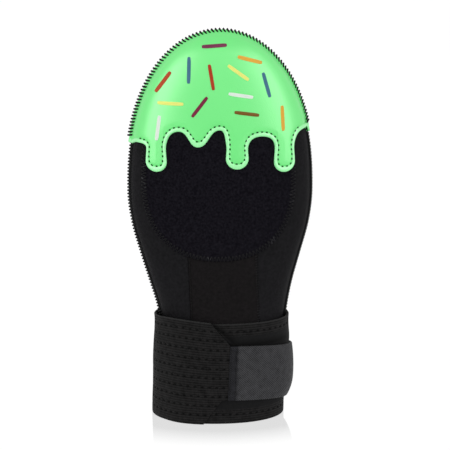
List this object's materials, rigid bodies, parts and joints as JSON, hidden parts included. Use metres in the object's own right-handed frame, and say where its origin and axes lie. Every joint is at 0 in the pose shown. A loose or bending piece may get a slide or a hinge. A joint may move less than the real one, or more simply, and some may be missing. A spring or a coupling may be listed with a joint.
{
  "type": "sliding mitt",
  "caption": "Stiff padded hand cover for base running: hollow closed shell standing on its open cuff, with glossy dripping-icing fingertip caps and a wrap strap round the wrist.",
  "frame": {"origin": "middle of the bounding box, on the plane of the cuff hem", "axes": "+Z from the cuff to the fingertips, -Y towards the back of the hand, +X to the side that the hook tab passes"},
  "size_m": [0.136, 0.0718, 0.29],
  "materials": {
    "neoprene": "smooth jersey faced, matt",
    "ribbed_neoprene": "finely ribbed, matt",
    "brushed_knit": "brushed loop pile, matt",
    "gloss_leather": "coated, glossy",
    "elastic": "woven elastic, matt",
    "hook_tape": "woven tape, matt"
  },
  "bodies": {
    "root": {"front_left_panel": "neoprene", "front_middle_panel": "ribbed_neoprene", "front_right_panel": "neoprene", "palm_left_panel": "neoprene", "palm_middle_panel": "neoprene", "palm_right_panel": "neoprene", "board_patch": "brushed_knit", "fingertip_cap_front": "gloss_leather", "fingertip_cap_palm": "gloss_leather", "wrist_strap": "elastic", "hook_tab": "hook_tape"}
  },
  "joints": []
}
